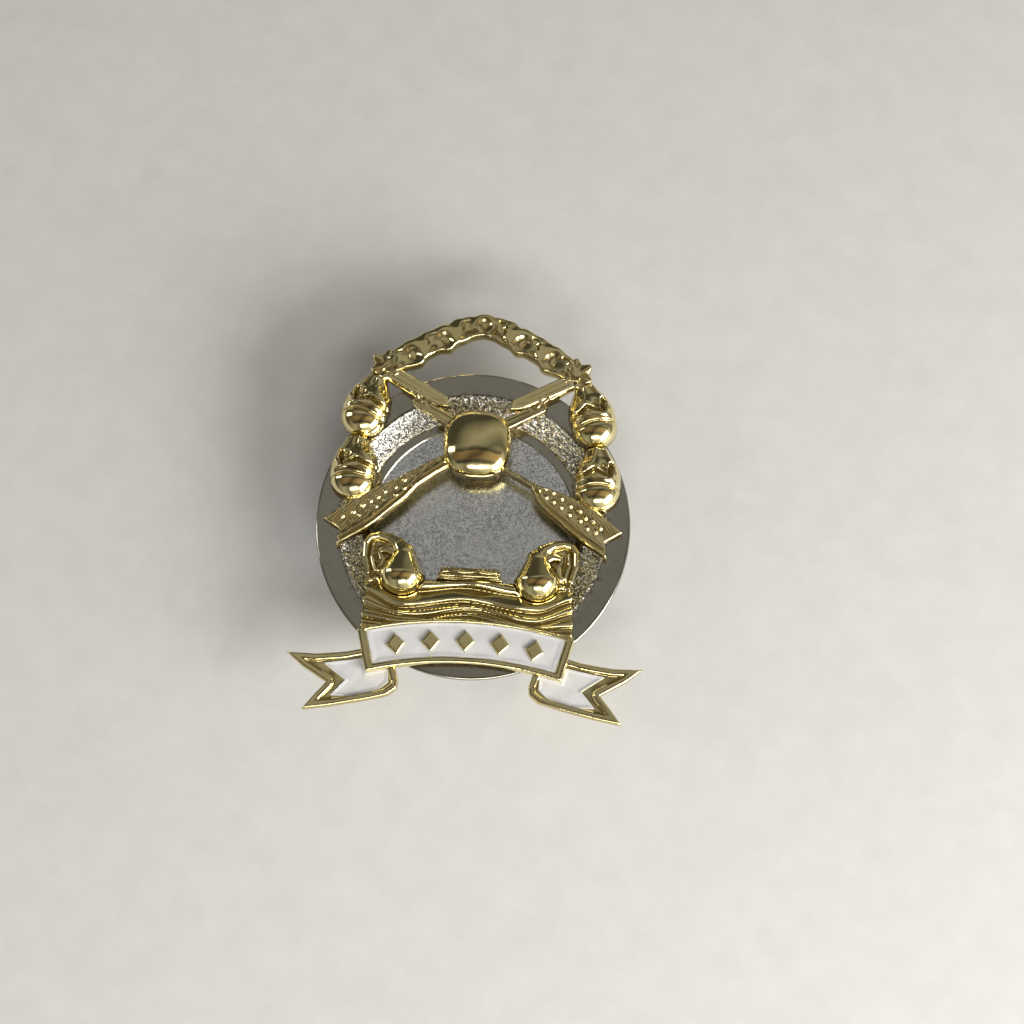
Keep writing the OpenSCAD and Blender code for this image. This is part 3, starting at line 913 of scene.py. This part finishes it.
def make_nut(side):
    """Thumb nut with a diamond knurl, turned shoulders and a threaded bore."""
    low, high, out = NUT_BACK, NUT_FRONT, NUT_R
    bore = 1.395
    c, band = 0.28, 0.25
    profile = spread((bore + 0.35, low), (out - c, low), 8)
    profile += spread((out - c, low + 0.001), (out - 0.02, low + c), 4)
    profile += spread((out, low + c + 0.02), (out, high - c - 0.02), 36)
    profile += spread((out - 0.02, high - c), (out - c, high - 0.001), 4)
    profile += spread((out - c, high), (bore + 0.3, high), 8) + [(bore, high - 0.2)]
    profile += spread((bore, high - 0.22), (bore, low + 0.22), 60) + [(bore, low + 0.2)]

    def shape(r, z, a):
        teeth = 36
        reach = clamp01((np.minimum(z - low, high - z) - band) / 0.12)
        lead = teeth * a
        twist = z * 5.6
        left = np.abs(np.sin((lead + twist) / 2))
        right = np.abs(np.sin((lead - twist) / 2))
        groove = 0.2 * (1 - np.minimum(left, right) ** 0.7) * reach
        turn = (z / THREAD_PITCH + a / (2 * math.pi)) % 1.0
        vee = 0.16 * (1 - np.abs(2 * turn - 1)) ** 0.8
        inside = (r < bore + 0.01) & (z > low + 0.15) & (z < high - 0.15)
        face = (r > bore + 0.4) & (r < out - c + 0.01)
        rings = -0.02 * (np.sin(r * 14) > 0.6) * face * np.where(z < (low + high) / 2, -1.0, 1.0)
        r = np.where(r > out - 0.01, r - groove, r)
        return np.where(inside, r + vee, r), z + rings
    return lathe(f"{side}_nut_knurled", f"{side}_nut", profile, 288, body=f"{side}_nut", shape=shape)


# ---- materials
class Nodes:
    """Short calls for building a material's node tree."""

    def __init__(self, name):
        self.material = bpy.data.materials.new(name)
        self.material.use_nodes = True
        self.tree = self.material.node_tree
        self.shader = self.tree.nodes["Principled BSDF"]
        self.place = self.add("ShaderNodeTexCoord").outputs["Object"]

    def add(self, kind, **inputs):
        node = self.tree.nodes.new(kind)
        for key, value in inputs.items():
            self.feed(node.inputs[key.replace("_", " ")], value)
        return node

    def feed(self, socket, value):
        if isinstance(value, bpy.types.NodeSocket):
            self.tree.links.new(value, socket)
        else:
            socket.default_value = value

    def noise(self, per_mm, detail=3.0, rough=0.5, distortion=0.0, place=None):
        node = self.add(
            "ShaderNodeTexNoise", Vector=place or self.place, Scale=per_mm / MM, Detail=detail,
            Roughness=rough, Distortion=distortion,
        )
        return node.outputs["Fac"]

    def span(self, value, low, high, to_low=0.0, to_high=1.0):
        node = self.add(
            "ShaderNodeMapRange", Value=value, From_Min=low, From_Max=high, To_Min=to_low, To_Max=to_high
        )
        return node.outputs["Result"]

    def math(self, operation, a, b):
        node = self.add("ShaderNodeMath")
        node.operation = operation
        self.feed(node.inputs[0], a)
        self.feed(node.inputs[1], b)
        return node.outputs["Value"]

    def blend(self, fac, a, b):
        node = self.tree.nodes.new("ShaderNodeMix")
        node.data_type = "RGBA"
        self.feed(node.inputs["Factor"], fac)
        self.feed(node.inputs["A"], a if isinstance(a, bpy.types.NodeSocket) else (*a, 1))
        self.feed(node.inputs["B"], b if isinstance(b, bpy.types.NodeSocket) else (*b, 1))
        return node.outputs["Result"]

    def bump(self, height, depth_mm, strength=1.0, normal=None):
        node = self.add("ShaderNodeBump", Height=height, Distance=depth_mm * MM, Strength=strength)
        if normal:
            self.feed(node.inputs["Normal"], normal)
        return node.outputs["Normal"]

    def cavity(self):
        node = self.tree.nodes.new("ShaderNodeAttribute")
        node.attribute_name = "cavity"
        return node.outputs["Fac"]

    def radius(self):
        """Distance from the plate's own axis, in mm."""
        flat = self.add("ShaderNodeMapping", Vector=self.place, Scale=(1 / MM, 1 / MM, 0))
        length = self.tree.nodes.new("ShaderNodeVectorMath")
        length.operation = "LENGTH"
        self.feed(length.inputs[0], flat.outputs["Vector"])
        return length.outputs["Value"]

    def finish(self, colour, roughness, normal=None, **rest):
        self.feed(self.shader.inputs["Base Color"], colour if not isinstance(colour, tuple) else (*colour, 1))
        self.feed(self.shader.inputs["Roughness"], roughness)
        if normal:
            self.feed(self.shader.inputs["Normal"], normal)
        for key, value in rest.items():
            self.shader.inputs[key.replace("_", " ")].default_value = value
        return self.material


def gilt_material():
    """Polished gold plate: soft waves, fine pits, duller in the crevices, with painted shade darkening the
    crevices and a paler colour on raised points.
    """
    n = Nodes("gilt")
    patches = n.noise(0.35, 3.0)
    plate = n.blend(n.span(patches, 0.35, 0.7), (0.84, 0.74, 0.38), (0.78, 0.66, 0.30))
    # Painted shade: the colour goes darker and browner in the crevices, where shade falls; the same mask also
    # makes them duller.
    shaded_crevice_mask = n.span(n.cavity(), -0.12, 0.0, 1.0, 0.0)
    colour = n.blend(n.math("MULTIPLY", shaded_crevice_mask, 0.6), plate, (0.34, 0.25, 0.08))
    # The colour goes paler, towards light straw, on raised points.
    raised_pale_mask = n.span(n.cavity(), 0.04, 0.16)
    colour = n.blend(n.math("MULTIPLY", raised_pale_mask, 0.4), colour, (0.95, 0.88, 0.60))
    smear = n.span(n.noise(0.8, 4.0, 0.6), 0.3, 0.75, 0.06, 0.17)
    roughness = n.math("ADD", smear, n.math("MULTIPLY", shaded_crevice_mask, 0.12))
    waves = n.bump(n.noise(0.45, 2.0, 0.4), 0.05, 0.6)
    ripples = n.bump(n.noise(1.4, 2.0, 0.5), 0.012, 0.45, waves)
    pits = n.bump(n.noise(7.0, 3.0, 0.7), 0.0014, 0.6, ripples)
    return n.finish(colour, roughness, pits, Metallic=1.0)


def scratches(n, per_mm, tilt, seed_shift):
    """Fine straight marks in one direction, as a 0 to 1 mask."""
    tilted = n.add(
        "ShaderNodeMapping", Vector=n.place, Rotation=(0, 0, math.radians(tilt)),
        Location=(seed_shift * MM, seed_shift * 2 * MM, 0),
    )
    squeeze = n.add("ShaderNodeMapping", Vector=tilted.outputs["Vector"], Scale=(0.07, 1, 1))
    grain = n.noise(per_mm, 2.0, 0.6, place=squeeze.outputs["Vector"])
    return n.span(grain, 0.60, 0.68)


def dish_material():
    """Nickel plate: satin flange, hammered wall with painted glitter, scratched mirror in the middle with
    painted glints on its grain, scratches and specks.
    """
    n = Nodes("nickel_dish")
    r = n.radius()
    inner_end = n.span(r, LEDGE_R - 0.1, LEDGE_R + 0.4)
    wall = n.math("MULTIPLY", inner_end, n.span(r, FLANGE_R - 0.2, FLANGE_R + 0.3, 1.0, 0.0))
    middle = n.span(r, FLOOR_R - 0.1, FLOOR_R + 0.05, 1.0, 0.0)
    flange_tone = n.blend(n.noise(0.2, 3.0), (0.37, 0.35, 0.285), (0.44, 0.42, 0.35))
    # Painted sparkle on the grainy middle: fine grains of dark grey and near-white colour stand for light
    # caught by the grain.
    grain_sparkle = n.span(n.noise(4.2, 1.0, 0.5), 0.40, 0.60)
    centre_tone = n.blend(grain_sparkle, (0.40, 0.41, 0.425), (0.95, 0.96, 0.965))
    # The middle is lighter in large soft patches.
    pale_patches = n.span(n.noise(0.16, 3.0, 0.55), 0.36, 0.64, 0.0, 0.5)
    centre_tone = n.blend(pale_patches, centre_tone, (0.97, 0.98, 0.97))
    tone = n.blend(middle, flange_tone, centre_tone)
    # Painted glitter: the hammered wall's colour is broken into near-black and near-white grains that stand
    # for light caught and missed by its facets.
    painted_glitter = n.span(n.noise(3.8, 2.0, 0.6, distortion=0.4), 0.42, 0.58)
    tone = n.blend(wall, tone, n.blend(painted_glitter, (0.24, 0.24, 0.235), (0.98, 0.98, 0.97)))
    marks = scratches(n, 4.4, 38, 0)
    for k, tilt in enumerate((-22, 74, 8, 118, 55)):
        marks = n.math("MAXIMUM", marks, scratches(n, 3.8 + 0.4 * k, tilt, 3.0 * (k + 1)))
    specks = n.span(n.noise(3.4, 2.0, 0.6), 0.64, 0.70)
    # Painted glints: scratches and specks are coloured near-white, strongest in the middle, standing for the
    # light they catch; the specks are also made a little rougher.
    glinting_marks = n.math("MAXIMUM", n.math("MULTIPLY", marks, 0.55), specks)
    painted_glint = n.math("MULTIPLY", glinting_marks, n.math("ADD", middle, 0.12))
    tone = n.blend(n.math("MULTIPLY", painted_glint, 0.9), tone, (0.98, 0.98, 0.97))
    stains = n.span(n.noise(2.2, 3.0, 0.6, distortion=0.5), 0.56, 0.68, 0.0, 0.55)
    tone = n.blend(n.math("MULTIPLY", stains, middle), tone, (0.26, 0.28, 0.31))
    cloud = n.span(n.noise(0.5, 5.0, 0.65), 0.3, 0.7)
    dull = n.math("MULTIPLY", cloud, 0.1)
    roughness = n.math("ADD", n.math("MULTIPLY", middle, dull), n.math("MULTIPLY", wall, -0.08))
    roughness = n.math("ADD", roughness, n.span(n.noise(1.2, 3.0), 0.3, 0.7, 0.13, 0.21))
    roughness = n.math("ADD", roughness, n.math("MULTIPLY", specks, 0.06))
    peel = n.bump(n.math("MULTIPLY", n.noise(1.6, 4.0, 0.7, distortion=0.6), wall), 0.3, 1.0)
    return n.finish(tone, roughness, peel, Metallic=1.0)


def enamel_material():
    """Hand-filled white enamel: thick gloss, faint clouds, a few specks."""
    n = Nodes("white_enamel")
    cloud = n.noise(0.45, 4.0)
    colour = n.blend(n.span(cloud, 0.3, 0.7), (0.70, 0.70, 0.71), (0.77, 0.77, 0.78))
    specks = n.span(n.noise(3.2, 2.0, 0.5), 0.745, 0.77)
    colour = n.blend(n.math("MULTIPLY", specks, 0.7), colour, (0.25, 0.21, 0.15))
    roughness = n.span(n.noise(1.5, 3.0), 0.3, 0.7, 0.10, 0.22)
    sag = n.bump(n.noise(0.7, 2.0), 0.03, 0.5)
    skin = n.bump(n.noise(4.0, 2.0), 0.002, 0.5, sag)
    return n.finish(colour, roughness, skin, Coat_Weight=0.6, Coat_Roughness=0.05, IOR=1.5)


def turned_metal(name, light, dark, lowest):
    """Turned or pressed metal with fine tool marks and some tarnish."""
    n = Nodes(name)
    tarnish = n.span(n.noise(0.5, 5.0, 0.65), 0.35, 0.75)
    colour = n.blend(tarnish, light, dark)
    roughness = n.span(n.noise(1.4, 4.0), 0.3, 0.7, lowest, lowest + 0.16)
    tool = n.add("ShaderNodeMapping", Vector=n.place, Scale=(1, 1, 8))
    marks = n.bump(n.noise(2.2, place=tool.outputs["Vector"]), 0.006, 0.5)
    pits = n.bump(n.noise(6.0, 3.0, 0.7), 0.004, 0.5, marks)
    return n.finish(colour, roughness, pits, Metallic=1.0)


def floor_material():
    """Plain pale card."""
    n = Nodes("pale_floor")
    grain = n.noise(0.25, 6.0, 0.6)
    tone = n.blend(n.span(grain, 0.3, 0.7), (0.68, 0.68, 0.675), (0.73, 0.73, 0.725))
    return n.finish(tone, 0.75, n.bump(n.noise(1.2, 4.0), 0.03, 0.3))


def paint(pieces, material):
    for piece in pieces:
        piece.data.materials.clear()
        piece.data.materials.append(material)


# ---- studio
def make_floor():
    half = 0.6
    corners = [(-half, -half), (half, -half), (half, half), (-half, half)]
    mesh = bpy.data.meshes.new("floor")
    mesh.from_pydata([(x, y, NUT_BACK * MM) for x, y in corners], [], [(0, 1, 2, 3)])
    floor = new_object("floor", mesh)
    floor.data.materials.append(floor_material())


def softbox(name, way, distance, size, watts, colour):
    """A rectangular lamp in direction way from the badge, facing it."""
    data = bpy.data.lights.new(name, "AREA")
    data.shape, data.size, data.size_y = "RECTANGLE", size[0], size[1]
    data.energy, data.color = watts, colour
    lamp = new_object(name, data)
    spot = Vector(way).normalized() * distance
    lamp.location = spot
    lamp.rotation_euler = (-spot).to_track_quat("-Z", "Y").to_euler()


# Brightness of the room from its far side (0) to the side the light comes from (1).
ROOM_STOPS = (
    (0.0, 0.05), (0.34, 0.06), (0.48, 0.20), (0.64, 0.34),
    (0.73, 0.28), (0.81, 0.12), (0.90, 0.50), (1.0, 0.80),
)
# A warm card over the front of the badge, from the front (0) to the back (1), with dark edges.
CARD_STOPS = (
    (0.0, 1.0), (0.17, 1.0), (0.21, 0.16), (0.27, 0.18), (0.31, (0.54, 0.41, 0.28)),
    (0.46, (0.72, 0.56, 0.40)), (0.475, 0.16), (0.50, 0.20), (0.56, 0.85), (1.0, 1.0),
)
# Where the card is left out, from straight down (0) to straight up (1): it is overhead only,
# so that it is never a stripe behind the badge.
CLEAR_STOPS = ((0.0, 1.0), (0.70, 1.0), (0.79, 0.0), (1.0, 0.0))
# An even glow from under the horizon, from straight down (0) to straight up (1).
GLOW_STOPS = ((0.0, 0.24), (0.45, 0.24), (0.50, 0.0), (1.0, 0.0))


def world_ramp(tree, way, stops):
    """A ramp of tones across the sky, from the side away from way to the side towards it."""
    place = tree.nodes.new("ShaderNodeTexCoord")
    toward = tree.nodes.new("ShaderNodeVectorMath")
    toward.operation = "DOT_PRODUCT"
    toward.inputs[1].default_value = Vector(way).normalized()
    unit = tree.nodes.new("ShaderNodeMapRange")
    unit.inputs["From Min"].default_value = -1.0
    ramp = tree.nodes.new("ShaderNodeValToRGB")
    tree.links.new(place.outputs["Generated"], toward.inputs[0])
    tree.links.new(toward.outputs["Value"], unit.inputs["Value"])
    tree.links.new(unit.outputs["Result"], ramp.inputs["Fac"])
    while len(ramp.color_ramp.elements) < len(stops):
        ramp.color_ramp.elements.new(0.5)
    for element, (at, tone) in zip(ramp.color_ramp.elements, stops):
        element.position = at
        rgb = tone if isinstance(tone, tuple) else (tone, tone * 0.985, tone * 0.95)
        element.color = (*rgb, 1)
    return ramp.outputs["Color"]


def world_mix(tree, operation, a, b):
    node = tree.nodes.new("ShaderNodeVectorMath")
    node.operation = operation
    tree.links.new(a, node.inputs[0])
    tree.links.new(b, node.inputs[1])
    return node.outputs["Vector"]


def make_lights():
    """A bright side low at the front and right, and a dim room overhead and behind."""
    softbox("key_right", (0.74, -0.52, 0.36), 0.50, (0.34, 0.20), 3.4, (1.0, 0.985, 0.94))
    softbox("front", (0.10, -0.80, 0.62), 0.55, (0.30, 0.12), 0.9, (1.0, 0.985, 0.94))
    softbox("left_strip", (-0.90, 0.10, 0.42), 0.55, (0.08, 0.26), 0.35, (0.96, 0.98, 1.0))
    world = bpy.data.worlds.new("room")
    bpy.context.scene.world = world
    world.use_nodes = True
    tree = world.node_tree
    room = world_ramp(tree, (0.60, -0.62, 0.50), ROOM_STOPS)
    card = world_ramp(tree, (0.0, 1.0, 0.0), CARD_STOPS)
    clear = world_ramp(tree, (0.0, 0.0, 1.0), CLEAR_STOPS)
    glow = world_ramp(tree, (0.0, 0.0, 1.0), GLOW_STOPS)
    sky = world_mix(tree, "MULTIPLY", room, world_mix(tree, "MAXIMUM", card, clear))
    background = tree.nodes["Background"]
    background.inputs["Strength"].default_value = 1.15
    tree.links.new(world_mix(tree, "MAXIMUM", sky, glow), background.inputs["Color"])
    bpy.context.scene.view_settings.view_transform = "Standard"
    bpy.context.scene.view_settings.look = "None"


def make_camera():
    """Looks down, 14 degrees off straight above, from below the badge and a little from its right.
    The aim is right of and above the plate's middle, so the badge sits as it does in the photograph."""
    data = bpy.data.cameras.new("camera")
    data.lens, data.sensor_width = 50.0, 36.0
    data.clip_start, data.clip_end = 0.005, 5.0
    camera = new_object("camera", data)
    azimuth, elevation, distance = math.radians(3.0), math.radians(76), 0.1806
    back = Vector((
        math.sin(azimuth) * math.cos(elevation),
        -math.cos(azimuth) * math.cos(elevation),
        math.sin(elevation),
    ))
    turn = (-back).to_track_quat("-Z", "Y")
    right, up = turn @ Vector((1, 0, 0)), turn @ Vector((0, 1, 0))
    aim_right, aim_up = 4.95, 1.37
    aim = Vector((0, 0, SEAT * MM)) + right * aim_right * MM + up * aim_up * MM
    camera.location = aim + back * distance
    camera.rotation_mode = "QUATERNION"
    camera.rotation_quaternion = turn
    bpy.context.scene.camera = camera


make_camera()
gilt_pieces = make_emblem()
gilt_pieces.append(make_lozenges())
enamel_pieces = make_enamel()
dish_piece = make_dish()
close_middle_and_drill(dish_piece)
stud_pieces = [make(side) for make in (make_stud, make_spacer) for side in SIDES]
washer_pieces = [make_washer(side) for side in SIDES]
nut_pieces = [make_nut(side) for side in SIDES]

paint(gilt_pieces, gilt_material())
paint(enamel_pieces, enamel_material())
paint([dish_piece], dish_material())
paint(stud_pieces, turned_metal("turned_brass", (0.78, 0.60, 0.30), (0.45, 0.31, 0.14), 0.2))
paint(washer_pieces, turned_metal("washer_nickel", (0.66, 0.65, 0.61), (0.45, 0.42, 0.37), 0.22))
paint(nut_pieces, turned_metal("nut_nickel", (0.72, 0.71, 0.68), (0.50, 0.47, 0.42), 0.16))
make_floor()
make_lights()
